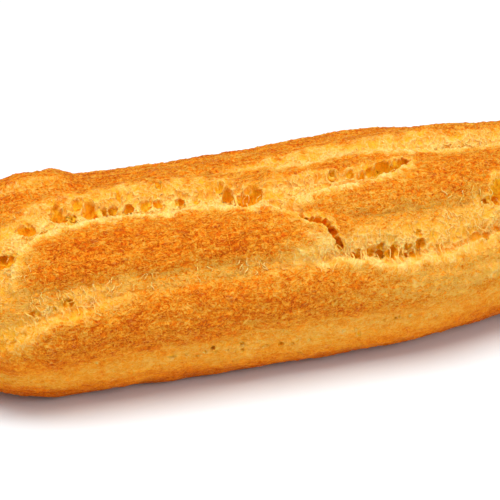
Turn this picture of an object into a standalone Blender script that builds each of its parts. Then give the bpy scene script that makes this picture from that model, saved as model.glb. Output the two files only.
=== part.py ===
"""A plain baked eclair shell of choux pastry, lying on its flat foot.

One solid: a log with round ends, piped in strands that run from end to end and
torn open along them where the dough has risen. Metres, +Z up, the length along
X and the front at -Y. The origin is under the middle, on the plane it rests on.

The skin is laid out on an unrolled sheet: x along the length, and the angle
round the log's axis, from 0 at the front over 90 at the top to 180 at the back.
"""

import bmesh
import bpy
import numpy as np

MM = 0.001

# The log before its strands and tears, about the place where its two halves meet.
LEFT_REACH = 66 * MM
RIGHT_REACH = 60 * MM
HALF_WIDTH = 20.6 * MM
AXIS_HEIGHT = 14.0 * MM  # the widest line above the foot
CROWN = 16.0 * MM  # from that line to the top
BELLY = 15.0 * MM  # from that line down, a little past the foot's plane
CROWN_POWER = 2.1  # nearly an ellipse above the widest line
BELLY_POWER = 3.0  # fuller below it, so that the foot is broad
LEFT_END_POWER = 9.0  # the left end is blunt
RIGHT_END_POWER = 4.0  # the right end is drawn out

# The mesh: a sphere's rings and segments, packed closer over the top.
RINGS = 76
SEGMENTS = 66
CROWDING = 0.38
EVEN_RINGS = 0.4  # the share of the ring spacing that is the same all along

# One radian on the unrolled sheet, as a length on the skin.
SKIN_RADIUS = 19.5 * MM
LIP_SLOPE = 1.9 * MM  # half the width over which a lip falls into its tear

CRUST_COLOUR = (0.72, 0.30, 0.06, 1.0)

# Strands: (x, angle, half width in degrees, height) along each crest, the lengths in mm.
STRANDS = {
    "flank": (
        (-66, -8, 12, 0.6), (-56, -3, 14, 1.5), (-40, 5, 15, 1.6), (0, 7, 15, 1.3),
        (30, 5, 14, 1.5), (60, 4, 12, 0.5),
    ),
    "shoulder": (
        (-56, 44, 14, 0.0), (-50, 45, 17, 1.9), (-38, 47, 18, 2.1), (-15, 46, 18, 2.1),
        (0, 38, 15, 1.7), (8, 30, 10, 0.0),
    ),
    "crown": (
        (-10, 52, 7, 0.0), (-4, 54, 9, 1.6), (8, 54, 12, 2.1), (22, 58, 17, 2.3),
        (36, 62, 18, 2.0), (60, 60, 12, 0.6),
    ),
    "top": (
        (-66, 92, 12, 0.5), (-50, 96, 13, 1.4), (-25, 94, 12, 1.2), (-6, 81, 10, 1.4),
        (12, 77, 8, 1.1), (22, 76, 6, 0.0),
    ),
    "ridge": (
        (-66, 112, 13, 1.2), (-56, 110, 15, 2.9), (-48, 110, 16, 4.2), (-42, 110, 16, 4.2),
        (-34.5, 114, 14, 0.9), (-10, 108, 15, 1.3), (20, 104, 16, 1.7), (42, 99, 16, 2.8),
        (60, 96, 12, 0.6),
    ),
    "rear_shoulder": (
        (-66, 138, 12, 0.6), (-40, 140, 15, 1.6), (0, 136, 15, 1.3), (30, 138, 15, 1.7),
        (60, 134, 12, 0.5),
    ),
    "rear_flank": (
        (-66, 168, 12, 0.5), (-30, 170, 16, 1.4), (10, 172, 16, 1.2), (40, 170, 15, 1.4),
        (60, 170, 12, 0.4),
    ),
}

# Tears: (x, angle, depth, reach) along each lip, the lengths in mm.
# The dough is open on the left of the way that the points run.
TEARS = {
    "end_and_shoulder": (
        (-51, 18, 0.0, 3), (-55, 28, 0.6, 5), (-55, 40, 1.0, 6), (-52, 53, 1.6, 7),
        (-47, 61.5, 2.3, 8.5), (-38, 63, 2.5, 9), (-28, 62, 2.5, 9), (-20, 60.5, 2.5, 9),
        (-15, 57, 2.6, 8.5), (-11, 55.5, 2.5, 7), (-8, 52.5, 2.0, 5), (-5.5, 47.5, 1.6, 3),
        (-1, 40.5, 1.8, 3), (1, 31, 1.8, 3), (1.6, 27, 1.5, 3), (1.8, 22, 0.0, 4),
    ),
    "crown_lip": (
        (-8, 53, 0.0, 6), (-4, 56, 1.6, 6), (2, 57, 1.7, 6), (8, 58, 1.7, 5), (11, 60.5, 1.8, 4.4),
        (15, 64, 1.7, 4), (18.5, 69, 1.3, 4), (20.5, 76, 0.0, 3),
    ),
    "flank_lip": (
        (-1, 24, 0.0, 3), (2, 20.5, 1.5, 5), (6, 17.5, 2.0, 6), (10, 15.5, 2.2, 6),
        (14, 14, 2.0, 6.5), (20, 14, 1.2, 8), (26, 17, 1.2, 9), (32, 21, 1.3, 10),
        (38, 27, 1.4, 9), (43, 34, 1.4, 6), (47, 44, 0.0, 4),
    ),
    "nose_lip": (
        (-60, -10, 0.0, 3), (-56, 2, 0.7, 4), (-51, 10, 0.8, 4), (-43, 15, 0.7, 4),
        (-36, 19, 0.4, 3), (-30, 21, 0.0, 3),
    ),
    "top_lip": (
        (-16, 88, 0.0, 3), (-6, 88, 1.0, 3), (2, 86, 1.2, 4), (7, 81, 1.4, 5), (18, 80, 1.5, 5),
        (28, 83, 1.5, 5), (38, 86, 1.2, 4), (50, 90, 0.0, 3),
    ),
    "rear_top_lip": (
        (-58, 98, 0.0, 3), (-52, 99, 0.4, 3), (-44, 101, 0.4, 3), (-37, 100, 0.0, 3),
    ),
    "rear_shoulder_lip": (
        (-6, 136, 0.0, 4), (6, 138, 1.4, 5), (22, 140, 1.8, 6), (36, 138, 1.4, 5), (44, 136, 0.0, 4),
    ),
    "rear_flank_lip": (
        (12, 150, 0.0, 4), (0, 153, 1.4, 5), (-14, 156, 1.9, 6), (-28, 155, 1.7, 6),
        (-40, 151, 1.3, 5), (-50, 146, 0.0, 3),
    ),
}


def smoothstep(low, high, x):
    """0 below low, 1 above high and an even curve between them."""
    share = np.clip((x - low) / (high - low), 0.0, 1.0)
    return share * share * (3.0 - 2.0 * share)


def fade(distance, reach):
    """1 at no distance, falling to 0 at reach."""
    return 1.0 - smoothstep(0.0, 1.0, np.abs(distance) / reach)


def end_rounding(x):
    """How much of the log's section is left at x: 1 along the middle and 0 at both tips."""
    left = x < 0.0
    share = np.where(left, -x / LEFT_REACH, x / RIGHT_REACH)
    power = np.where(left, LEFT_END_POWER, RIGHT_END_POWER)
    return np.sqrt(np.clip(1.0 - share**power, 0.0, 1.0))


def plain_radius(x, angle):
    """The log's radius about its axis: two half ellipses, narrower and taller to the right."""
    left = end_rounding(x)
    narrowing = 1.0 - 0.13 * smoothstep(14 * MM, 34 * MM, x)
    swelling = 1.0 + 0.05 * smoothstep(-12 * MM, 20 * MM, x)
    over = np.sin(angle) >= 0.0
    power = np.where(over, CROWN_POWER, BELLY_POWER)
    half_width = HALF_WIDTH * narrowing * left
    height = np.where(over, CROWN * swelling * left**0.85, BELLY * left)
    half_width = np.maximum(half_width, MM / 100)
    height = np.maximum(height, MM / 100)
    across = np.abs(np.cos(angle)) / half_width
    upwards = np.abs(np.sin(angle)) / height
    return (across**power + upwards**power) ** (-1.0 / power)


def strand_relief(x, angle):
    """How far the piped strands stand above the plain log; the highest one counts."""
    relief = np.zeros_like(x)
    for crest in STRANDS.values():
        places, centres, widths, heights = np.array(crest, float).T
        centre, width, height = (
            np.interp(x, places * MM, values, left=values[0], right=values[-1])
            for values in (centres, widths, heights * MM)
        )
        share = np.clip((np.degrees(angle) - centre) / width, -1.0, 1.0)
        within = (x > places[0] * MM) & (x < places[-1] * MM)
        relief = np.maximum(relief, height * (1.0 - share**2) ** 0.7 * within)
    return relief


def lip_distance(points, x, angle):
    """The signed distance to a lip, over zero on its open side, with its depth and reach there."""
    places = np.column_stack([points[:, 0] * MM, np.radians(points[:, 1]) * SKIN_RADIUS])
    here = np.stack([x, angle * SKIN_RADIUS], axis=-1)
    nearest = np.full(x.shape, np.inf)
    signed, depth, reach = np.zeros_like(x), np.zeros_like(x), np.full(x.shape, MM)
    for start, end, first, last in zip(places[:-1], places[1:], points[:-1], points[1:]):
        run = end - start
        share = np.clip((here - start) @ run / (run @ run), 0.0, 1.0)
        offset = here - start - share[..., None] * run
        distance = np.hypot(offset[..., 0], offset[..., 1])
        side = run[0] * offset[..., 1] - run[1] * offset[..., 0]
        closer = distance < nearest
        nearest = np.where(closer, distance, nearest)
        signed = np.where(closer, np.where(side < 0.0, -distance, distance), signed)
        depth = np.where(closer, (first[2] + share * (last[2] - first[2])) * MM, depth)
        reach = np.where(closer, (first[3] + share * (last[3] - first[3])) * MM, reach)
    return signed, depth, reach


def tear_relief(x, angle):
    """How deep the tears are: a fall inside each lip and a slow rise to where the dough closes."""
    sunk = np.zeros_like(x)
    for points in TEARS.values():
        signed, depth, reach = lip_distance(np.array(points, float), x, angle)
        fall = smoothstep(-LIP_SLOPE, LIP_SLOPE, signed)
        rise = fade(np.maximum(signed, 0.0), reach)
        sunk = np.maximum(sunk, depth * fall * rise)
    return sunk


def skin(x, angle):
    """Points on the finished skin. Strands and tears fade out where the tips close."""
    closing = smoothstep(0.0, 0.55, end_rounding(x))
    upper = smoothstep(np.radians(-40), np.radians(-8), angle) * (
        1.0 - smoothstep(np.radians(188), np.radians(220), angle)
    )
    relief = (strand_relief(x, angle) - tear_relief(x, angle)) * closing * upper
    radius = plain_radius(x, angle) + relief
    return np.stack([x, -radius * np.cos(angle), AXIS_HEIGHT + radius * np.sin(angle)], axis=-1)


def add_log_mesh():
    """A sphere with its poles at the log's tips, each point of it moved to the skin."""
    shell = bmesh.new()
    bmesh.ops.create_uvsphere(shell, u_segments=SEGMENTS, v_segments=RINGS, radius=1.0)
    shell.verts.ensure_lookup_table()
    sphere = np.array([vertex.co for vertex in shell.verts])
    turn = np.arctan2(sphere[:, 1], sphere[:, 0])
    turn = np.where(turn < -np.pi / 2, turn + 2 * np.pi, turn)
    angle = turn + CROWDING * np.cos(turn)
    up = np.clip(sphere[:, 2], -1.0, 1.0)
    share = (1.0 - EVEN_RINGS) * up + EVEN_RINGS * np.arcsin(up) / (np.pi / 2)
    along = share * np.where(share < 0.0, LEFT_REACH, RIGHT_REACH)
    for vertex, place in zip(shell.verts, skin(along, angle)):
        vertex.co = place
    return shell


def cut_foot(shell):
    """The tray's plane cuts the belly off flat, and one face closes the cut."""
    everything = shell.verts[:] + shell.edges[:] + shell.faces[:]
    bmesh.ops.bisect_plane(
        shell, geom=everything, plane_co=(0, 0, 0), plane_no=(0, 0, -1), clear_outer=True
    )
    rim = [edge for edge in shell.edges if edge.is_boundary]
    bmesh.ops.contextual_create(shell, geom=rim)
    bmesh.ops.recalc_face_normals(shell, faces=shell.faces[:])


def centre_on_foot(shell):
    """Moves the log so that the origin is under the middle of its box."""
    places = np.array([vertex.co for vertex in shell.verts])
    middle = (places.min(axis=0) + places.max(axis=0)) / 2
    bmesh.ops.translate(shell, verts=shell.verts[:], vec=(-middle[0], -middle[1], 0.0))


def baked_crust():
    material = bpy.data.materials.new("baked_crust")
    material.use_nodes = True
    surface = material.node_tree.nodes["Principled BSDF"]
    surface.inputs["Base Color"].default_value = CRUST_COLOUR
    surface.inputs["Roughness"].default_value = 0.6
    surface.inputs["Metallic"].default_value = 0.0
    return material


def build():
    for leftover in list(bpy.data.objects):
        bpy.data.objects.remove(leftover)
    shell = add_log_mesh()
    cut_foot(shell)
    centre_on_foot(shell)
    mesh = bpy.data.meshes.new("eclair_shell")
    shell.to_mesh(mesh)
    shell.free()
    mesh.materials.append(baked_crust())
    mesh.shade_smooth()
    bpy.context.scene.collection.objects.link(bpy.data.objects.new("eclair_shell", mesh))


build()
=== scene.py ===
"""The looks of the plain eclair shell: its baked crust, torn open along the piped strands.

The skin is laid out on an unrolled sheet, in millimetres: along runs down the log's length,
and girth runs round it, from 0 at the front over the top to the back.
"""

import math

import bpy
import numpy as np
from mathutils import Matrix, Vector


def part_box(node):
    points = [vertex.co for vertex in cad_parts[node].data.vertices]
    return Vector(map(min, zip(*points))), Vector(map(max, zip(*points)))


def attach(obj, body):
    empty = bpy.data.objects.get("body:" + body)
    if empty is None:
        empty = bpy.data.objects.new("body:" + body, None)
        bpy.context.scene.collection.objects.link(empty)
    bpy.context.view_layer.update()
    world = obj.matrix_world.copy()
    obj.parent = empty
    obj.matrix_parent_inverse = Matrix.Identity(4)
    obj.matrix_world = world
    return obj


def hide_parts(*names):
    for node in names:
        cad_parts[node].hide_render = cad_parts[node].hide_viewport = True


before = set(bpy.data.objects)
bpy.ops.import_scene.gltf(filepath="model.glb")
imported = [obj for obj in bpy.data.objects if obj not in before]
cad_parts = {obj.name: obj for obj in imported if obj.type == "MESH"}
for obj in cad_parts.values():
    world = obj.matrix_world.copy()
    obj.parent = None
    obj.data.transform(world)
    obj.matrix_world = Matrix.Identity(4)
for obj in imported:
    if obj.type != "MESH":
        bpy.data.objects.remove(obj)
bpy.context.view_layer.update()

MM = 0.001

# The log, as the solid has it, in millimetres.
LEFT_REACH, RIGHT_REACH = 66.0, 60.0
HALF_WIDTH, AXIS_HEIGHT = 20.6, 14.0
CROWN, BELLY = 15.9, 15.0
CROWN_POWER, BELLY_POWER = 2.1, 3.0
LEFT_END_POWER, RIGHT_END_POWER = 9.0, 4.0
RIGHT_NARROWING, RIGHT_SWELLING = 0.13, 0.05
TIP_RADIUS = 0.01
GIRTH = 19.5  # millimetres of girth to a radian

# The finished skin's mesh.
EVEN_RINGS = 0.5  # 1 spaces the rings evenly, 0 as a ball has them
TOP_CROWDING = 0.38  # 0 spaces the points evenly round the log
CRUST_TRIANGLES = 190_000

HUMPS = 256  # humps of unevenness along and round before they repeat
# The depth value of each pore, slit and torn floor also sets its painted shade, darkest at DEEPEST.
DEEPEST = 2.4  # the most that a hollow counts
LINE_MARGIN = 11.0  # how far beside a tear its line is still worked out
FAR = 99.0  # stands for every distance past that

# Strands: (along, angle, half width in degrees, height, how brown) down each crest.
STRANDS = {
    "flank": (
        (-66, -8, 12, 0.6, 0.4), (-56, -3, 14, 1.5, 0.7), (-40, 5, 15, 1.6, 0.8),
        # The flank's brown fades to the right as painted light, where more light falls on it.
        (0, 7, 15, 1.3, 0.65), (14, 3, 15, 1.5, 0.1), (30, 1, 15, 1.6, 0.0), (60, 2, 12, 0.5, 0.5),
    ),
    "shoulder": (
        (-56, 44, 14, 0.0, 0.7), (-50, 45, 17, 1.9, 0.9), (-38, 47, 18, 2.1, 0.95),
        (-15, 46, 18, 2.1, 0.85), (0, 38, 15, 1.7, 0.6), (8, 30, 10, 0.0, 0.3),
    ),
    "crown": (
        (-10, 52, 7, 0.0, 0.4), (-4, 54, 9, 1.6, 0.45), (8, 54, 12, 2.1, 0.45),
        (22, 58, 17, 2.3, 0.6), (36, 62, 18, 2.0, 0.6), (60, 60, 12, 0.6, 0.6),
    ),
    "top": (
        (-66, 92, 12, 0.5, 0.5), (-50, 96, 13, 1.4, 0.7), (-25, 94, 12, 1.2, 0.65),
        (-6, 82, 10, 1.4, 0.5), (4, 80, 9, 1.3, 0.6), (14, 79, 9, 1.3, 0.75),
        (21, 78, 7, 0.7, 0.7), (27, 78, 6, 0.0, 0.5),
    ),
    "ridge": (
        (-66, 112, 13, 1.2, 0.6), (-56, 110, 15, 2.9, 0.8), (-48, 110, 16, 4.2, 0.8),
        (-42, 110, 16, 4.2, 0.8), (-34.5, 114, 14, 0.9, 0.75), (-10, 108, 15, 1.3, 0.65),
        (20, 104, 16, 1.7, 0.55), (42, 99, 16, 2.8, 0.6), (60, 96, 12, 0.6, 0.5),
    ),
    "rear_shoulder": (
        (-66, 138, 12, 0.6, 0.6), (-40, 140, 15, 1.6, 1.0), (0, 136, 15, 1.3, 0.9),
        (30, 138, 15, 1.7, 1.0), (60, 134, 12, 0.5, 0.6),
    ),
    "rear_flank": (
        (-66, 168, 12, 0.5, 0.5), (-30, 170, 16, 1.4, 0.9), (10, 172, 16, 1.2, 0.8),
        (40, 170, 15, 1.4, 0.9), (60, 170, 12, 0.4, 0.5),
    ),
}

# Tears: (along, angle, depth, reach) down each lip; the dough is open on the lip's left.
TEARS = {
    "end_and_shoulder": (
        (-51, 18, 0.0, 3), (-55, 28, 0.3, 5), (-55, 40, 0.7, 6), (-52, 53, 1.4, 7),
        (-47, 61.5, 2.6, 8.5), (-38, 63, 2.8, 9), (-28, 62, 2.8, 9), (-20, 60.5, 2.8, 9),
        (-15, 57, 2.9, 8.5), (-11, 55.5, 2.8, 7), (-8, 52.5, 2.0, 4.5), (-5.5, 47.5, 1.0, 2.2),
        (-3, 44, 1.0, 1.8), (-1, 40.5, 1.1, 1.8), (0, 36, 1.2, 1.8), (1, 31, 1.2, 2.0),
        (1.6, 27, 1.2, 2.6), (1.8, 22, 0.0, 4),
    ),
    "crown_lip": (
        (-8, 53, 0.0, 6), (-4, 56, 1.6, 6), (2, 57, 1.8, 6), (8, 58, 1.9, 5),
        (11, 60.5, 2.1, 4.4), (15, 64, 2.1, 3.8), (18.5, 69, 1.7, 3), (20.5, 76, 0.0, 2),
    ),
    "flank_lip": (
        (-1, 24, 0.0, 3), (2, 20.5, 1.5, 5), (6, 17.5, 1.9, 6), (10, 15.5, 2.0, 6),
        (14, 14, 1.8, 6.5), (20, 14, 1.2, 7), (26, 17, 1.1, 7), (32, 21, 1.2, 7.5),
        (38, 27, 1.4, 7.5), (43, 34, 1.5, 6), (47, 44, 0.0, 4),
    ),
    "nose_lip": (
        (-60, -10, 0.0, 3), (-56, 2, 0.6, 4), (-51, 10, 0.6, 4), (-43, 15, 0.6, 4),
        (-36, 19, 0.3, 3), (-30, 21, 0.0, 3),
    ),
    "top_lip": (
        (-16, 91, 0.0, 2), (-6, 89, 1.2, 4), (2, 86.5, 1.6, 6), (8, 85, 1.7, 6),
        (18, 84.5, 1.7, 6), (28, 83.5, 1.6, 4), (38, 83.5, 1.3, 3), (50, 86, 0.0, 2),
    ),
    "rear_top_lip": (
        (-58, 98, 0.0, 1.2), (-52, 99, 0.4, 1.2), (-44, 101, 0.4, 1.2), (-37, 100, 0.0, 1.2),
    ),
    "rear_shoulder_lip": (
        (-6, 136, 0.0, 4), (6, 138, 1.7, 5), (22, 140, 2.0, 6), (36, 138, 1.6, 5),
        (44, 136, 0.0, 4),
    ),
    "rear_flank_lip": (
        (12, 150, 0.0, 4), (0, 153, 1.5, 5), (-14, 156, 2.1, 6), (-28, 155, 1.9, 6),
        (-40, 151, 1.4, 5), (-50, 146, 0.0, 3),
    ),
}

# Where the dough has stretched and stayed pale, and where paleness is painted light: (along, angle, half
# width in degrees, how pale).
PALE_BANDS = {
    "front_valley": (
        (-60, 14, 9, 0.4), (-52, 18, 10, 0.7), (-43, 21, 8, 0.6), (-33, 23, 7, 0.4),
        # Partly painted light: stretched, pale dough whose paleness toward the slit is raised to lighten
        # the crease's shade.
        (-22, 24, 6, 0.35), (-12, 25, 7, 0.5), (-5, 27, 11, 1.0), (2, 23, 11, 1.0),
        (8, 20, 9, 0.8), (14, 16, 5, 0.0),
    ),
    "left_end": ((-60, 62, 40, 0.7), (-55, 45, 30, 0.9), (-50, 50, 24, 0.35), (-46, 50, 20, 0.0)),
    "slit_border": ((-6, 44, 4, 0.2), (-4, 36, 9, 0.8), (0, 30, 11, 1.0), (4, 26, 9, 0.3)),
    "open_dough": (
        (-2, 40, 8, 0.0), (4, 40, 14, 0.15), (12, 36, 16, 0.2), (22, 36, 17, 0.3),
        (30, 40, 20, 0.7), (38, 44, 18, 0.6), (46, 46, 10, 0.0),
    ),
    "below_crown": (
        (6, 41, 4, 0.0), (13, 41, 6, 0.5), (24, 43, 7, 0.55), (32, 46, 6, 0.4), (38, 48, 5, 0.0),
    ),
    "back_of_crown": (
        (-22, 78, 6, 0.0), (-10, 72, 7, 0.8), (4, 70, 6, 0.9), (16, 73, 4, 0.5), (22, 76, 3, 0.0),
    ),
    "behind_top": (
        (-36, 100, 4, 0.0), (-20, 97, 7, 0.4), (0, 92, 8, 0.8), (20, 90, 9, 0.95),
        (32, 87, 6, 0.8), (50, 86, 5, 0.5),
    ),
    # Painted light: the right-hand flank is lightened where more light falls on it.
    "flank_painted_light": ((4, 8, 10, 0.0), (14, 6, 14, 0.7), (30, 5, 15, 0.72), (56, 5, 12, 0.3)),
    "foot_band": (
        (-62, -18, 9, 0.25), (-30, -16, 10, 0.5), (10, -14, 10, 0.6), (40, -12, 9, 0.5),
        (58, -12, 8, 0.3),
    ),
    "rear_valley": ((-50, 154, 7, 0.3), (-10, 158, 9, 0.5), (20, 156, 8, 0.4), (50, 154, 7, 0.3)),
    "rear_foot_band": ((-62, 196, 9, 0.25), (0, 194, 10, 0.45), (58, 194, 8, 0.3)),
}

# Burst bubbles in the crumb: (along, angle, half length, half girth, depth).
BUBBLES = (
    (-54.5, 50, 1.4, 1.6, 1.9), (-49.3, 73, 1.6, 1.6, 2.2), (-43.2, 80, 1.7, 1.7, 2.1),
    (-41.0, 78, 0.6, 1.2, 1.2), (-39.6, 85, 1.0, 0.9, 1.3), (-37.6, 79.5, 1.6, 1.8, 2.1),
    (-35.4, 79, 0.5, 1.4, 1.3), (-34.0, 78.5, 0.8, 1.2, 1.8), (-32.4, 87, 0.4, 1.3, 1.7),
    (-31.4, 78, 0.8, 1.0, 1.4), (-28.2, 78.5, 1.2, 1.3, 1.5), (-26.0, 77.5, 0.9, 0.9, 1.1),
    (-25.2, 89, 0.4, 1.3, 1.7), (-22.3, 77, 0.8, 0.9, 0.8), (-19.2, 76, 0.6, 1.0, 0.7),
    (-14.9, 80, 0.8, 0.9, 1.3), (-13.8, 74, 1.0, 1.2, 2.2), (-10.6, 69, 2.3, 1.8, 2.4),
    (5.0, 73, 0.5, 0.5, 0.8), (7.8, 72, 0.8, 0.7, 1.0), (9.8, 70, 0.7, 0.8, 1.1),
    (12.2, 70.5, 1.4, 0.8, 1.0), (14.6, 72, 2.2, 1.1, 1.2), (17.3, 73.5, 2.0, 1.3, 1.3),
    (4.6, 21.5, 0.8, 0.6, 1.2), (7.2, 22, 0.9, 0.9, 1.3), (8.7, 20.5, 0.6, 0.7, 1.2),
    (11.4, 20, 1.3, 0.8, 1.3), (13.4, 18, 0.45, 0.4, 1.2), (14.6, 17.5, 0.6, 0.45, 1.3),
    (16.4, 23, 0.95, 0.95, 1.8), (5.2, 24, 0.6, 0.5, 0.5), (9.0, 24, 0.6, 0.7, 0.6),
    (11.8, 23, 0.8, 0.7, 0.6), (14.2, 22.5, 0.6, 0.6, 0.6), (16.2, 28, 0.6, 0.6, 0.6),
    (29.8, 41, 0.5, 0.5, 0.5), (33.0, 45.5, 1.8, 2.9, 2.4),
    (-51.8, 17, 1.0, 0.7, 0.4), (-49.0, 19, 0.8, 0.6, 0.3), (-46.2, 21, 0.9, 0.7, 0.3),
    (-16.5, -13, 0.4, 0.3, 0.5), (-21.8, -13, 0.3, 0.25, 0.4), (-13.8, -14, 0.3, 0.2, 0.3),
    (4.6, -19, 0.4, 0.4, 0.6), (-9.6, -18, 0.3, 0.3, 0.4), (-42.0, -12, 0.3, 0.2, 0.3),
    (14.0, 144, 1.4, 1.1, 1.5), (18.5, 145, 0.8, 1.2, 1.3), (24.0, 145, 1.0, 1.0, 1.4),
    (29.0, 144, 0.6, 0.9, 1.1), (7.0, 143, 0.7, 0.9, 1.1), (-8.0, 150, 0.8, 0.9, 1.3),
    (-12.0, 151, 1.3, 1.0, 1.5), (-18.0, 151, 0.6, 0.8, 1.2), (-24.0, 150, 1.0, 1.1, 1.4),
    (-31.0, 149, 0.8, 0.9, 1.2),
)

# Slits where the strand has parted: (along, angle, depth, half width) down the middle of each.
CRACKS = {
    "slit": (
        (-6, 48.5, 0.1, 0.2), (-3.4, 45.5, 0.5, 0.25), (-1.8, 43, 1.2, 0.4), (-0.4, 40, 1.6, 0.5),
        (0.7, 36, 1.8, 0.6), (1.5, 31, 1.8, 0.55), (2.2, 28, 0.7, 0.3),
    ),
}

# Thicker posts of crumb: (along, angle) at the foot and at the tip.
POSTS = (
    (-36.3, 66, -36.0, 80), (-33.2, 67, -33.6, 79), (-30.0, 67, -29.5, 78),
    (-12.4, 62, -12.8, 76), (3.4, 18, 3.8, 24), (6.0, 17, 5.8, 24),
)
POST_STOUTNESS = 2.2  # how many times as thick as a thread

# Threads of crumb left across the tears: (tear, how many, first and last along).
BRIDGED_TEARS = (
    ("end_and_shoulder", 34, -50, -8), ("crown_lip", 14, -6, 19), ("flank_lip", 9, 2, 18),
    ("top_lip", 16, -4, 38), ("rear_shoulder_lip", 14, -4, 40), ("rear_flank_lip", 16, -44, 8),
)

# Fibres standing in the stretched dough: (first and last along, first and last angle, how many).
FIBRE_PATCHES = (
    (-54, -41, 13, 25, 40), (-40, -8, 20, 27, 36), (2, 22, 20, 30, 12), (22, 36, 22, 46, 44),
    (-56, -52, 34, 60, 16), (-3, 4, 16, 26, 14), (-12, 6, 60, 74, 22), (-40, 44, 140, 152, 40),
)

# ---------------------------------------------------------------- sums on the sheet


def smoothstep(low, high, x):
    """0 below low, 1 above high and an even curve between them."""
    share = np.clip((x - low) / (high - low), 0.0, 1.0)
    return share * share * (3.0 - 2.0 * share)


def unevenness(along, girth, size, seed):
    """Smooth random values from -1 to 1 with humps of this size; size is one number or (along, girth)."""
    wide, high = np.broadcast_to(size, 2)
    cells = np.random.default_rng(seed).uniform(-1.0, 1.0, (HUMPS, HUMPS))
    column, row = along / wide + HUMPS / 2, girth / high + HUMPS / 2
    left, low = np.floor(column).astype(int), np.floor(row).astype(int)
    across, up = smoothstep(0, 1, column - left), smoothstep(0, 1, row - low)
    left, low, right, top = left % HUMPS, low % HUMPS, (left + 1) % HUMPS, (low + 1) % HUMPS
    below = cells[left, low] * (1 - across) + cells[right, low] * across
    above = cells[left, top] * (1 - across) + cells[right, top] * across
    return below * (1 - up) + above * up


def end_rounding(along):
    """How much of the log's section is left: 1 along the middle and 0 at both tips."""
    left = along < 0.0
    share = np.abs(np.where(left, along / LEFT_REACH, along / RIGHT_REACH))
    power = np.where(left, LEFT_END_POWER, RIGHT_END_POWER)
    return np.sqrt(np.clip(1.0 - share**power, 0.0, 1.0))


def plain_radius(along, angle):
    """The log's radius about its axis: two half ellipses, narrower and taller to the right."""
    left = end_rounding(along)
    narrowing = 1.0 - RIGHT_NARROWING * smoothstep(14, 34, along)
    swelling = 1.0 + RIGHT_SWELLING * smoothstep(-12, 20, along)
    over = np.sin(angle) >= 0.0
    power = np.where(over, CROWN_POWER, BELLY_POWER)
    half_width = np.maximum(HALF_WIDTH * narrowing * left, TIP_RADIUS)
    height = np.where(over, CROWN * swelling * left**0.85, BELLY * left)
    across = np.abs(np.cos(angle)) / half_width
    upwards = np.abs(np.sin(angle)) / np.maximum(height, TIP_RADIUS)
    return (across**power + upwards**power) ** (-1.0 / power)


def strands_at(along, angle):
    """How far the strands stand above the plain log, and how brown their crests have baked."""
    relief, brown = np.zeros_like(along), np.zeros_like(along)
    for crest in STRANDS.values():
        places, *values = np.array(crest, float).T
        centre, width, height, colour = (np.interp(along, places, v) for v in values)
        share = np.clip((np.degrees(angle) - centre) / width, -1.0, 1.0)
        within = smoothstep(places[0] - 1, places[0] + 3, along)
        within = within * (1.0 - smoothstep(places[-1] - 3, places[-1] + 1, along))
        relief = np.maximum(relief, height * (1.0 - share**2) ** 0.7 * within)
        brown = np.maximum(brown, colour * (1.0 - share**4) * within)
    return relief, brown


def paleness_at(along, angle):
    """How pale each point is, from 0 to 1: stretched dough that stayed pale, and paleness that is painted
    light on the flank and in the front valley.
    """
    pale = np.zeros_like(along)
    for band in PALE_BANDS.values():
        places, *values = np.array(band, float).T
        centre, width, amount = (np.interp(along, places, v) for v in values)
        share = np.clip((np.degrees(angle) - centre) / width, -1.0, 1.0)
        within = (along > places[0]) & (along < places[-1])
        pale = np.maximum(pale, amount * (1.0 - share**2) ** 1.5 * within)
    return pale


def rounded_line(points, rounds=2):
    """The same line with its corners cut, twice over."""
    line = np.array(points, float)
    for _ in range(rounds):
        near, far = line[:-1] * 0.75 + line[1:] * 0.25, line[:-1] * 0.25 + line[1:] * 0.75
        cut = np.stack([near, far], axis=1).reshape(-1, line.shape[1])
        line = np.vstack([line[:1], cut, line[-1:]])
    return line


def on_sheet(line):
    """The line's places on the sheet, with its angles in degrees turned into millimetres of girth."""
    return np.column_stack([line[:, 0], np.radians(line[:, 1]) * GIRTH])


def from_line(points, along, girth):
    """For one line: signed distance from it, the way out to its left, and its depth and width there."""
    line = rounded_line(points)
    places = on_sheet(line)
    signed = np.full(along.shape, -FAR)
    out = np.zeros((len(along), 2))
    depth, width = np.zeros_like(along), np.ones_like(along)
    low, high = places.min(axis=0) - LINE_MARGIN, places.max(axis=0) + LINE_MARGIN
    near = np.flatnonzero(
        (along > low[0]) & (along < high[0]) & (girth > low[1]) & (girth < high[1])
    )
    here = np.column_stack([along[near], girth[near]])
    best = np.full(len(near), np.inf)
    for start, end, first, last in zip(places[:-1], places[1:], line[:-1], line[1:]):
        run = end - start
        share = np.clip((here - start) @ run / (run @ run), 0.0, 1.0)
        offset = here - start - share[:, None] * run
        distance = np.hypot(offset[:, 0], offset[:, 1])
        closer = distance < best
        best[closer] = distance[closer]
        side = np.where(run[0] * offset[:, 1] - run[1] * offset[:, 0] < 0.0, -1.0, 1.0)
        chosen, kept = near[closer], share[closer]
        signed[chosen] = (side * distance)[closer]
        out[chosen] = np.array([-run[1], run[0]]) / np.hypot(*run)
        depth[chosen] = first[2] + kept * (last[2] - first[2])
        width[chosen] = first[3] + kept * (last[3] - first[3])
    return signed, out, depth, width


# ---------------------------------------------------------------- the skin


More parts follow.
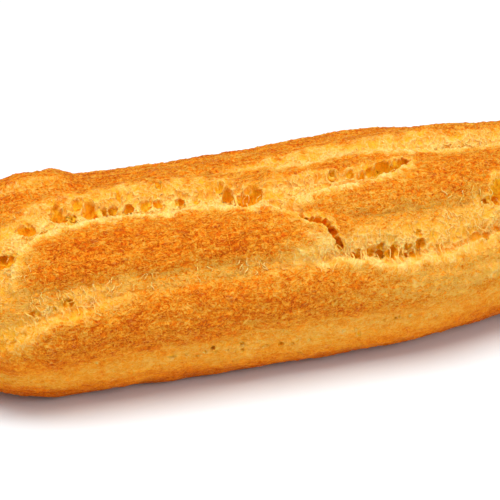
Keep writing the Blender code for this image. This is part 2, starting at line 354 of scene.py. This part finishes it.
class Skin:
    """What baking makes of each point of the sheet: how far it sinks or rises, and how it looks."""

    def __init__(self, along, angle):
        self.along, self.angle, self.girth = along, angle, angle * GIRTH
        self.wander = 0.6 * self.uneven(2.8, 1) + 0.25 * self.uneven(0.9, 2)
        self.ragged = 0.55 * self.uneven(2.4, 3) + 0.28 * self.uneven(0.8, 4)
        self.fade = 0.16 * self.uneven(2.0, 5) + 0.10 * self.uneven(0.8, 6)
        self.relief, self.brown = strands_at(along, angle)
        self.sunk, self.lift, self.torn = (np.zeros_like(along) for _ in range(3))
        self.hollow_and_shade, self.fresh = np.zeros_like(along), np.zeros_like(along)
        self.shove = np.zeros((len(along), 2))

    def uneven(self, size, seed):
        return unevenness(self.along, self.girth, size, seed)

    def from_ragged_line(self, points):
        return from_line(points, self.along + self.wander, self.girth + self.ragged)

    def tear_open(self, points):
        """The dough drops away behind a lip, which curls up and leans out over the crumb; the crumb just
        behind the lip gets painted shade.
        """
        signed, out, depth, reach = self.from_ragged_line(points)
        share = np.clip(signed, 0.0, None) / reach
        open_here = smoothstep(0.0, 0.9, depth)
        rise = np.clip(1.0 - share, 0.0, 1.0) ** 0.9
        self.sunk = np.maximum(self.sunk, depth * smoothstep(-0.15, 0.8, signed) * rise)
        crumb = (1.0 - smoothstep(0.7, 1.3, share + 1.3 * self.fade)) * (signed > 0.0)
        rim = smoothstep(-1.3, 0.0, signed + 3.0 * self.fade) * (signed <= 0.0)
        self.torn = np.maximum(self.torn, (crumb + rim) * open_here)
        # Painted shade on the crumb just behind the lip, fading out within about half the tear's reach.
        shaded = smoothstep(0.3, 1.0, signed) * (1.0 - share * 1.9) * open_here
        self.hollow_and_shade = np.maximum(self.hollow_and_shade, shaded)
        whitest = smoothstep(-1.1, 0.0, signed + 2.0 * self.fade)
        whitest = whitest * (1.0 - smoothstep(0.2, 0.95, share + self.fade))
        self.fresh = np.maximum(self.fresh, whitest * smoothstep(0.5, 2.2, depth))
        near_lip = smoothstep(-4.5, -0.6, signed) * (signed < 1.0) * open_here
        self.brown = self.brown * (1.0 - 0.5 * near_lip)
        curl = np.exp(-(((signed + 0.3) / 0.8) ** 2)) * open_here
        self.lift = np.maximum(self.lift, 0.35 * curl)
        overhang = 0.7 * smoothstep(1.6, 4.0, reach) * open_here
        self.shove = self.shove + out * (overhang * np.exp(-(((signed + 0.1) / 0.55) ** 2)))[:, None]

    def burst(self, place, degrees, half_length, half_girth, depth):
        """A bubble has burst and left a rimmed, amber hole, with painted shade inside that darkens as the
        hole deepens.
        """
        away = np.hypot(
            (self.along + 0.5 * self.wander - place) / half_length,
            (self.girth + 0.5 * self.ragged - math.radians(degrees) * GIRTH) / half_girth,
        )
        well = 1.0 - smoothstep(0.35, 1.1, away)
        rim = np.exp(-(((away - 1.2) / 0.2) ** 2))
        self.sunk = self.sunk + 0.75 * depth * well - 0.2 * rim
        inside = 1.0 - smoothstep(0.65, 1.1, away)
        # Painted shade inside the hole, darker for deeper holes.
        self.hollow_and_shade = np.maximum(self.hollow_and_shade, (1.2 + 0.3 * depth) * inside)
        self.torn = np.maximum(self.torn, 1.0 - smoothstep(1.1, 1.6, away))

    def crack(self, points):
        """A narrow slit, sunk into the skin and darkened with painted shade."""
        signed, _, depth, half_width = self.from_ragged_line(points)
        within = 1.0 - smoothstep(0.5, 1.2, np.abs(signed) / half_width)
        self.sunk = self.sunk + depth * within
        within = within * smoothstep(0.0, 0.8, depth)
        # The slit takes the darkest painted shade.
        self.hollow_and_shade = np.maximum(self.hollow_and_shade, DEEPEST * within)
        self.torn = np.maximum(self.torn, within)

    def looks(self):
        """The values that the finish and the relief read; the palest stretched dough looks torn."""
        pale = paleness_at(self.along, self.angle + 3.0 / GIRTH * self.fade)
        stretched = smoothstep(0.6, 1.0, pale + 1.2 * self.fade)
        return {
            "torn": np.maximum(self.torn, 0.8 * stretched),
            "brown": self.brown,
            "pale": pale,
            "hollow_and_shade": np.clip(self.hollow_and_shade, 0.0, DEEPEST),
            "fresh": np.maximum(self.fresh, 0.6 * stretched),
        }

    def places(self):
        """The points about the log's axis, in millimetres; the tips and the foot stay plain."""
        closing = smoothstep(0.0, 0.55, end_rounding(self.along))
        upper = smoothstep(math.radians(-40), math.radians(-8), self.angle)
        upper = upper * (1.0 - smoothstep(math.radians(188), math.radians(220), self.angle))
        knobbly = 0.36 * self.uneven((9, 5), 7) + 0.2 * self.uneven((4, 2.2), 8)
        radius = plain_radius(self.along, self.angle)
        radius = radius + (self.relief - self.sunk + self.lift) * closing * upper
        radius = radius + knobbly * closing
        along = self.along + self.shove[:, 0] * closing * upper
        angle = self.angle + self.shove[:, 1] / GIRTH * closing * upper
        return np.column_stack(
            [along, -radius * np.cos(angle), AXIS_HEIGHT + radius * np.sin(angle)]
        )


def torn_skin(along, angle):
    """The skin with every tear, bubble and crack of the log in it."""
    skin = Skin(along, angle)
    for lip in TEARS.values():
        skin.tear_open(lip)
    for bubble in BUBBLES + foot_pores():
        skin.burst(*bubble)
    for middle in CRACKS.values():
        skin.crack(middle)
    return skin


def foot_pores():
    """A loose row of pinprick bubbles low on the front, where the dough has split a little."""
    dice = np.random.default_rng(14)
    row = np.arange(-30.0, 22.0, 1.7)
    return tuple(
        (
            place,
            -15.5 + 1.5 * math.sin(place / 9.0) + dice.normal(0.0, 0.9),
            dice.uniform(0.2, 0.5),
            dice.uniform(0.12, 0.22),
            dice.uniform(0.15, 0.45),
        )
        for place in row + dice.uniform(-0.8, 0.8, len(row))
    )


def thread_ends():
    """Where each thread starts and ends on the sheet, in millimetres."""
    dice = np.random.default_rng(12)
    for tear, count, first, last in BRIDGED_TEARS:
        line = rounded_line(TEARS[tear])
        corners = on_sheet(line)
        ways = np.diff(corners, axis=0)
        ways /= np.hypot(*ways.T)[:, None]
        inside = np.flatnonzero((line[:-1, 0] > first) & (line[:-1, 0] < last))
        for place in dice.choice(inside, count):
            way, out = ways[place], np.array([-ways[place, 1], ways[place, 0]])
            spot = corners[place] + way * dice.uniform(0.0, 1.5)
            lean = way * dice.normal(0.0, 0.5)
            yield spot - 0.25 * out, spot + lean + out * dice.uniform(0.25, 0.5) * line[place, 3]
    for first, last, low, high, count in FIBRE_PATCHES:
        for _ in range(count):
            spot = np.array(
                [dice.uniform(first, last), math.radians(dice.uniform(low, high)) * GIRTH]
            )
            yield spot, spot + [dice.normal(0.0, 0.55), dice.uniform(0.7, 1.7)]


# ---------------------------------------------------------------- nodes as sums


class Wire:
    """A node's socket that takes part in sums; each sum adds its Math node."""

    def __init__(self, bench, socket):
        self.bench = bench
        self.socket = socket

    def sum(self, operation, *values):
        return self.bench.node("ShaderNodeMath", {"operation": operation}, dict(enumerate(values)))

    def __add__(self, other):
        return self.sum("ADD", self, other)

    def __sub__(self, other):
        return self.sum("SUBTRACT", self, other)

    def __rsub__(self, other):
        return self.sum("SUBTRACT", other, self)

    def __mul__(self, other):
        return self.sum("MULTIPLY", self, other)

    __radd__, __rmul__ = __add__, __mul__

    def __abs__(self):
        return self.sum("ABSOLUTE", self)

    def or_more(self, other):
        return self.sum("MAXIMUM", self, other)

    def clamped(self):
        return self.sum("MINIMUM", self.sum("MAXIMUM", self, 0.0), 1.0)


class Bench:
    """A node tree, of a material or of a modifier, and the ways to add to it."""

    def __init__(self, tree):
        self.tree = tree

    def node(self, kind, settings=None, inputs=None, output=0):
        made = self.tree.nodes.new(kind)
        for name, value in (settings or {}).items():
            setattr(made, name, value)
        for name, value in (inputs or {}).items():
            if isinstance(value, Wire):
                self.tree.links.new(value.socket, made.inputs[name])
            else:
                made.inputs[name].default_value = value
        return Wire(self, made.outputs[output])

    def ramp(self, value, low, high):
        """0 where the value is below low, 1 above high, smooth between."""
        return self.node(
            "ShaderNodeMapRange",
            {"interpolation_type": "SMOOTHSTEP"},
            {"Value": value, "From Min": low, "From Max": high},
        )

    def blend(self, share, first, second):
        """Two colours mixed: the first where share is 0, the second where it is 1."""
        return self.node(
            "ShaderNodeMix", {"data_type": "RGBA"}, {0: share, 6: first, 7: second}, output=2
        )

    def noise(self, vector, scale, detail=2.0, roughness=0.5, swirl=0.0, output=0):
        return self.node(
            "ShaderNodeTexNoise",
            {"noise_dimensions": "3D"},
            {
                "Vector": vector, "Scale": scale, "Detail": detail,
                "Roughness": roughness, "Distortion": swirl,
            },
            output,
        )

    def mottle(self, vector, detail=2.0, swirl=0.0):
        """Uneven values round 0, mostly between -1 and 1."""
        return (self.noise(vector, 1.0, detail, 0.5, swirl) - 0.5) * 4.0

    def hairs(self, vector, detail=2.0, fineness=9.0, swirl=0.0):
        """Thin wandering lines: 1 on a line and 0 away from it."""
        return (1.0 - abs(self.noise(vector, 1.0, detail, 0.6, swirl) - 0.5) * fineness).clamped()

    def cells(self, vector, feature="DISTANCE_TO_EDGE", output="Distance"):
        return self.node(
            "ShaderNodeTexVoronoi",
            {"voronoi_dimensions": "2D", "feature": feature},
            {"Vector": vector, "Scale": 1.0},
            output,
        )

    def stretched(self, vector, x, y, z=1.0):
        return self.node(
            "ShaderNodeVectorMath", {"operation": "MULTIPLY"}, {0: vector, 1: (x, y, z)}
        )

    def part_of(self, vector, axis):
        return self.node("ShaderNodeSeparateXYZ", {}, {0: vector}, "XYZ"[axis])


def crumb_cells(bench, sheet):
    """How far inside a bubble the crumb is, among the wide bubbles and among the fine ones."""
    drift = bench.noise(sheet, 0.5, 3.0, output="Color")
    bent = bench.node(
        "ShaderNodeVectorMath",
        {"operation": "MULTIPLY_ADD"},
        {0: drift, 1: (2.2, 2.2, 0.0), 2: sheet},
    )
    webs = bench.stretched(bent, 0.55, 0.45)
    wide = bench.ramp(bench.cells(webs), 0.03, 0.26)
    wide = wide * bench.ramp(bench.cells(webs, "F1", "Color"), 0.35, 0.6)
    fine = bench.ramp(bench.cells(bench.stretched(bent, 1.25, 0.95)), 0.03, 0.28)
    return wide, fine


def nearing_a_tip(bench, sheet):
    """0 along the log and 1 at both tips, where the sheet's girth is drawn together to a point."""
    from_middle = abs(bench.part_of(sheet, 0) - (RIGHT_REACH - LEFT_REACH) / 2)
    return bench.ramp(from_middle, 54.0, 61.0)


# ---------------------------------------------------------------- the pieces


def only(piece):
    """Selects this piece alone and makes it the active one."""
    bpy.ops.object.select_all(action="DESELECT")
    piece.select_set(True)
    bpy.context.view_layer.objects.active = piece


def add_ball(name, segments, rings):
    bpy.ops.object.select_all(action="DESELECT")
    bpy.ops.mesh.primitive_uv_sphere_add(segments=segments, ring_count=rings, radius=1.0)
    ball = bpy.context.object
    ball.name = name
    return ball


def apply_modifier(piece, kind, **settings):
    """Adds a modifier and applies it."""
    only(piece)
    modifier = piece.modifiers.new(kind.lower(), kind)
    for name, value in settings.items():
        setattr(modifier, name, value)
    bpy.ops.object.modifier_apply(modifier=modifier.name)


def keep_on(mesh, name, kind, values):
    """Stores one value for each of the mesh's points."""
    layer = mesh.attributes.new(name, kind, "POINT")
    field = "vector" if kind == "FLOAT_VECTOR" else "value"
    layer.data.foreach_set(field, np.asarray(values, np.float32).ravel())


def points_of(mesh):
    """The mesh's points as rows of x, y and z."""
    points = np.empty(len(mesh.vertices) * 3, np.float32)
    mesh.vertices.foreach_get("co", points)
    return points.reshape(-1, 3)


def move_to(mesh, places):
    """Moves the mesh's points to places in millimetres about the log's middle, in the shared frame."""
    low, high = (np.array(corner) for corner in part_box("eclair_shell"))
    shift = [(low[0] + high[0]) / 2, (low[1] + high[1]) / 2, 0.0]
    points = (places + [(LEFT_REACH - RIGHT_REACH) / 2, 0.0, 0.0]) * MM + shift
    mesh.vertices.foreach_set("co", points.astype(np.float32).ravel())


def add_log():
    """A ball with its poles at the log's tips, divided finely enough for the crumb's pores."""
    log = add_ball("eclair_crust", 84, 110)
    log.rotation_euler = (0.0, math.pi / 2, 0.0)
    bpy.ops.object.transform_apply(location=False, rotation=True, scale=False)
    levels = 3
    apply_modifier(log, "SUBSURF", subdivision_type="SIMPLE", levels=levels, render_levels=levels)
    return log


def shape_skin(log):
    """Moves each point of the ball to its place on the torn skin and keeps what the skin is there."""
    ball = points_of(log.data).astype(float)
    up = np.clip(ball[:, 0], -1.0, 1.0)
    share = (1.0 - EVEN_RINGS) * up + EVEN_RINGS * np.arcsin(up) / (np.pi / 2)
    along = share * np.where(share < 0.0, LEFT_REACH, RIGHT_REACH)
    turn = np.arctan2(ball[:, 2], -ball[:, 1])
    turn = np.where(turn < -np.pi / 2, turn + 2 * np.pi, turn)
    angle = turn + TOP_CROWDING * np.cos(turn)
    skin = torn_skin(along, angle)
    move_to(log.data, skin.places())
    sheet = np.column_stack([along, angle * GIRTH, np.zeros_like(along)])
    keep_on(log.data, "sheet", "FLOAT_VECTOR", sheet)
    for name, amount in skin.looks().items():
        keep_on(log.data, name, "FLOAT", amount)
    log.data.update()


def press_foot(log):
    """Everything below the tray's plane is pressed flat onto it."""
    only(log)
    bpy.ops.object.mode_set(mode="EDIT")
    bpy.ops.mesh.select_all(action="DESELECT")
    bpy.ops.object.mode_set(mode="OBJECT")
    log.data.vertices.foreach_set("select", points_of(log.data)[:, 2] < 0.0)
    bpy.ops.object.mode_set(mode="EDIT")
    bpy.ops.mesh.select_mode(type="VERT")
    bpy.ops.transform.resize(value=(1, 1, 0), center_override=(0, 0, 0))
    bpy.ops.object.mode_set(mode="OBJECT")


def crumb_and_crust_relief():
    """Nodes that sink the crumb's pores and raise the crust's wrinkles along the surface's normal."""
    tree = bpy.data.node_groups.new("crumb_and_crust_relief", "GeometryNodeTree")
    tree.interface.new_socket("Geometry", in_out="INPUT", socket_type="NodeSocketGeometry")
    tree.interface.new_socket("Geometry", in_out="OUTPUT", socket_type="NodeSocketGeometry")
    bench = Bench(tree)
    whole = bench.node("NodeGroupInput")

    def kept(name, data_type="FLOAT"):
        return bench.node("GeometryNodeInputNamedAttribute", {"data_type": data_type}, {"Name": name})

    sheet = kept("sheet", "FLOAT_VECTOR")
    torn, hollow_and_shade, pale = kept("torn"), kept("hollow_and_shade"), kept("pale")
    place = bench.node("GeometryNodeInputPosition")
    tip = nearing_a_tip(bench, sheet)

    wide, fine = crumb_cells(bench, sheet)
    threads = bench.noise(bench.stretched(sheet, 1.5, 0.4), 1.0, 3.0, 0.6)
    deeper = hollow_and_shade.clamped()
    crumb_depth = wide * (deeper * 0.5 + 0.3) + fine * (deeper * 0.2 + 0.12) - (threads - 0.5) * 0.4

    wrinkles = bench.noise(bench.stretched(sheet, 0.35, 0.9), 1.0, 3.0, 0.55)
    wrinkles = wrinkles + (bench.noise(place, 350.0, 3.0, 0.55) - wrinkles) * tip
    blisters = bench.noise(place, 1100.0, 2.0, 0.5)
    crust_rise = (wrinkles - 0.5) * 0.9 + (blisters - 0.5) * 0.55

    rise = crust_rise * (1.0 - torn) - crumb_depth * torn.or_more(pale * 0.4)
    above_foot = bench.ramp(bench.part_of(place, 2), 0.0001, 0.003)
    offset = bench.node(
        "ShaderNodeVectorMath",
        {"operation": "SCALE"},
        {0: bench.node("GeometryNodeInputNormal"), 3: rise * above_foot * MM},
    )
    moved = bench.node("GeometryNodeSetPosition", {}, {"Geometry": whole, "Offset": offset})
    tree.links.new(moved.socket, tree.nodes.new("NodeGroupOutput").inputs[0])
    return tree


def make_crust():
    """The whole shell's skin, torn, foot pressed flat, with the crumb's pores and crust's wrinkles."""
    log = add_log()
    shape_skin(log)
    press_foot(log)
    apply_modifier(log, "NODES", node_group=crumb_and_crust_relief())
    share_kept = min(1.0, CRUST_TRIANGLES / 2 / len(log.data.polygons))
    apply_modifier(log, "DECIMATE", ratio=share_kept, use_collapse_triangulate=True)
    only(log)
    bpy.ops.object.shade_smooth()
    return log


def unit(vectors):
    """The same ways, each one long."""
    return vectors / np.linalg.norm(vectors, axis=1, keepdims=True)


def drawn_threads(ends, ball, stoutness):
    """The ball drawn out between each pair of ends, thickest at both and bowed outwards."""
    run = 1.0 - np.arccos(np.clip(ball[:, 2], -1.0, 1.0)) / math.pi
    girdle = np.sqrt(np.clip(1.0 - ball[:, 2] ** 2, 0.0, 1.0))
    ring = ball[:, :2] / np.maximum(girdle, 1e-6)[:, None]
    skin = torn_skin(ends[:, :, 0].ravel(), ends[:, :, 1].ravel() / GIRTH).places()
    foot, tip = skin[0::2], skin[1::2]
    middle = ends[:, :, 1].mean(axis=1) / GIRTH
    outwards = np.column_stack([0.0 * middle, -np.cos(middle), np.sin(middle)])
    across = unit(np.cross(tip - foot, outwards))
    upright = unit(np.cross(across, tip - foot))
    dice, each = np.random.default_rng(13), (len(ends), 1)
    thickness = (0.8 + 1.6 * np.abs(2 * run - 1) ** 3) * girdle**0.6
    half_width = dice.uniform(0.07, 0.15, each) * stoutness[:, None] * thickness
    rise = dice.uniform(0.1, 0.35, each) * np.sin(math.pi * run) - 0.2 * np.abs(2 * run - 1) ** 4
    sway = dice.normal(0.0, 0.2, each) * np.sin(2 * math.pi * run)
    sway = sway + dice.normal(0.0, 0.25, each) * np.sin(math.pi * run)
    place = foot[:, None] + run[:, None] * (tip - foot)[:, None]
    place = place + rise[:, :, None] * outwards[:, None]
    place = place + (sway + half_width * ring[:, 0])[:, :, None] * across[:, None]
    place = place + (half_width * ring[:, 1])[:, :, None] * upright[:, None]
    sheet = ends[:, None, 0] + run[:, None] * (ends[:, 1] - ends[:, 0])[:, None]
    return place.reshape(-1, 3), sheet.reshape(-1, 2)


def make_threads():
    """One ball repeated for each pair of ends, and each copy drawn out into a thread."""
    threads = add_ball("crumb_threads", 6, 10)
    ball = np.array([corner.co for corner in threads.data.vertices])
    thin = np.array(list(thread_ends()))
    stout = np.array(POSTS, float).reshape(-1, 2, 2) * (1.0, math.radians(1.0) * GIRTH)
    ends = np.concatenate([thin, stout])
    stoutness = np.repeat([1.0, POST_STOUTNESS], [len(thin), len(stout)])
    apply_modifier(threads, "ARRAY", count=len(ends), relative_offset_displace=(0, 0, 0))
    place, sheet = drawn_threads(ends, ball, stoutness)
    move_to(threads.data, place)
    keep_on(threads.data, "sheet", "FLOAT_VECTOR", np.pad(sheet, ((0, 0), (0, 1))))
    for name, amount in {"torn": 1.0, "fresh": 0.7}.items():
        keep_on(threads.data, name, "FLOAT", np.full(len(sheet), amount))
    bpy.ops.object.mode_set(mode="EDIT")
    bpy.ops.mesh.select_all(action="SELECT")
    bpy.ops.mesh.normals_make_consistent(inside=False)
    bpy.ops.object.mode_set(mode="OBJECT")
    bpy.ops.object.shade_smooth()
    return threads


# ---------------------------------------------------------------- finishes

PEACH, GOLDEN = (1.0, 0.50, 0.08, 1), (0.97, 0.34, 0.017, 1)
TAN, DEEP_BROWN = (0.85, 0.205, 0.004, 1), (0.60, 0.088, 0.0005, 1)
YELLOW, CREAM = (0.99, 0.38, 0.014, 1), (1.0, 0.70, 0.22, 1)
# The darker amber is painted shade for the deepest holes and the slit.
AMBER, PAINTED_SHADE_AMBER = (1.0, 0.48, 0.015, 1), (1.0, 0.34, 0.005, 1)
COOL_WHITE = (0.82, 0.92, 0.99, 1)


def new_material(name):
    """A material and its one surface shader."""
    material = bpy.data.materials.new(name)
    material.use_nodes = True
    return material, material.node_tree.nodes["Principled BSDF"]


def baked_pastry():
    """Crust that browns on the crests and toward the foot, where painted shade also darkens the bottom
    edge, and pale, cellular crumb where it is torn, with painted shade in its deepest holes and slit.
    """
    material, surface = new_material("baked_pastry")
    tree = material.node_tree
    bench = Bench(tree)

    def kept(name, output="Fac"):
        return bench.node("ShaderNodeAttribute", {"attribute_name": name}, {}, output)

    sheet = kept("sheet", "Vector")
    torn, brown, pale = kept("torn"), kept("brown"), kept("pale")
    hollow_and_shade, fresh = kept("hollow_and_shade"), kept("fresh")
    place = bench.node("ShaderNodeTexCoord", {}, {}, "Object")
    tip = nearing_a_tip(bench, sheet)

    def at(per_metre):
        return bench.stretched(place, per_metre, per_metre, per_metre)

    blotches = bench.mottle(bench.stretched(sheet, 0.10, 0.30))
    streaks = bench.mottle(bench.stretched(sheet, 0.35, 1.1))
    streaks = streaks + (bench.mottle(at(350.0)) - streaks) * tip
    grain = bench.mottle(at(1300.0), 1.0, 1.2)
    wires = bench.hairs(bench.stretched(sheet, 0.5, 1.0), 2.0, 12.0, 1.5) * (1.0 - tip)
    fine_wires = bench.hairs(at(850.0), 1.0, 9.0, 1.8)
    specks = bench.ramp(bench.noise(place, 1700.0, 0.0), 0.64, 0.74)

    # Millimetres of girth down from the top on either side: the foot is browner and smoother, its brown
    # partly baked colour and partly painted shade along the bottom edge.
    from_top = abs(bench.part_of(sheet, 1) - GIRTH * math.pi / 2)
    foot_brown_and_shade = bench.ramp(from_top, 38.1, 43.1)
    rough = bench.ramp(from_top, 35.6, 29.6) * 0.5 + 0.5

    # The foot band adds baked brown and painted shade toward the bottom edge.
    bake = brown * 0.75 + blotches * 0.30 + pale * -0.6 + foot_brown_and_shade * 0.9 + 0.5
    scatter = streaks * 0.5 + grain * 0.42 - wires * 0.9 - fine_wires * 0.7 + specks * 0.4
    bake = bake + scatter * rough
    crust = bench.blend(bench.ramp(bake, -0.7, 0.2), PEACH, GOLDEN)
    crust = bench.blend(bench.ramp(bake, 0.1, 0.75), crust, TAN)
    crust = bench.blend(bench.ramp(bake, 0.65, 1.5), crust, DEEP_BROWN)

    wide, fine = crumb_cells(bench, sheet)
    fibres = bench.hairs(bench.stretched(sheet, 1.2, 0.4), 2.0, 12.0, 0.6)
    walls = 1.0 - (wide * 0.8).or_more(fine * 0.75)
    bright = fresh * 0.65 + walls * 0.35 + fibres * 0.2 + grain * 0.25 + wires * 0.25 - 0.05
    crumb = bench.blend(bright.clamped(), YELLOW, CREAM)
    # Amber in the cells and holes: partly the crumb's own colour, partly painted shade and painted warm
    # bounce light that grow with the depth value.
    inside = (wide * 0.7 + fine * 0.3) * (hollow_and_shade * 0.45 + 0.45)
    inside = inside + bench.ramp(hollow_and_shade, 0.4, 1.0) * 0.2 + bench.ramp(hollow_and_shade, 1.0, 1.5) * 0.7
    crumb = bench.blend(inside.clamped(), crumb, AMBER)
    # Painted shade: the deepest holes and the slit darken to dark amber.
    crumb = bench.blend(bench.ramp(hollow_and_shade, 1.6, 2.3), crumb, PAINTED_SHADE_AMBER)
    mellow = torn + grain * 0.2 + streaks * 0.15 + wires * 0.2
    colour = bench.blend(bench.ramp(mellow, 0.1, 0.85), crust, crumb)

    crust_height = grain * 0.5 + wires * 0.8 + fine_wires * 0.7 + streaks * 0.6 - specks * 0.6
    crumb_height = walls * 0.8 + fibres * 0.5 + grain * 0.3
    height = crust_height * (1.0 - torn) * rough + crumb_height * torn
    bump = bench.node("ShaderNodeBump", {}, {"Strength": 1.0, "Distance": 0.0002, "Height": height})

    tree.links.new(colour.socket, surface.inputs["Base Color"])
    tree.links.new(bump.socket, surface.inputs["Normal"])
    surface.inputs["Roughness"].default_value = 0.55
    surface.inputs["Specular IOR Level"].default_value = 0.05
    surface.inputs["Subsurface Weight"].default_value = 0.3
    surface.inputs["Subsurface Radius"].default_value = (1.0, 0.45, 0.12)
    surface.inputs["Subsurface Scale"].default_value = 0.0012
    return material


def white_table():
    material, surface = new_material("white_table")
    surface.inputs["Base Color"].default_value = COOL_WHITE
    surface.inputs["Roughness"].default_value = 0.9
    return material


# ---------------------------------------------------------------- the setting

WARM_WHITE = (1.0, 0.965, 0.94)
WARM_SKY = (1.0, 0.97, 0.94, 1)
LOOKED_AT = Vector((-0.0056, 0.0, 0.0155))
CAMERA_TURN, CAMERA_LIFT = math.radians(-18), math.radians(28)
CAMERA_DISTANCE = 0.6
SENSOR_WIDTH, LENS = 36.0, 248.4


def aim(thing, spot):
    thing.rotation_euler = (Vector(spot) - thing.location).to_track_quat("-Z", "Y").to_euler()


def add_softbox(name, place, size, power):
    bpy.ops.object.light_add(type="AREA", location=place)
    lamp = bpy.context.object
    lamp.name = name
    lamp.data.size = size
    lamp.data.energy = power
    lamp.data.color = WARM_WHITE
    aim(lamp, (0, 0, 0.01))


def set_table():
    bpy.ops.object.select_all(action="DESELECT")
    bpy.ops.mesh.primitive_plane_add(size=6.0, location=(0, 0, 0))
    table = bpy.context.object
    table.name = "table"
    table.data.materials.append(white_table())
    add_softbox("key_softbox", (-0.15, -0.05, 0.90), 0.75, 8.9)
    add_softbox("front_softbox", (0.5, -0.75, 0.5), 0.5, 2.8)
    world = bpy.data.worlds.new("studio")
    bpy.context.scene.world = world
    world.use_nodes = True
    world.node_tree.nodes["Background"].inputs["Color"].default_value = WARM_SKY
    world.node_tree.nodes["Background"].inputs["Strength"].default_value = 0.38
    bpy.context.scene.view_settings.view_transform = "Standard"


def add_camera():
    """From the front and a little above, near the left end, with a long lens."""
    level = math.cos(CAMERA_LIFT)
    back = Vector(
        (math.sin(CAMERA_TURN) * level, -math.cos(CAMERA_TURN) * level, math.sin(CAMERA_LIFT))
    )
    bpy.ops.object.camera_add(location=LOOKED_AT + back * CAMERA_DISTANCE)
    camera = bpy.context.object
    camera.data.sensor_width = SENSOR_WIDTH
    camera.data.lens = LENS
    aim(camera, LOOKED_AT)
    bpy.context.scene.camera = camera


pastry = baked_pastry()
crust = make_crust()
threads = make_threads()
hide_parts("eclair_shell")
for piece in (crust, threads):
    piece.data.materials.append(pastry)
    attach(piece, "root")

set_table()
add_camera()
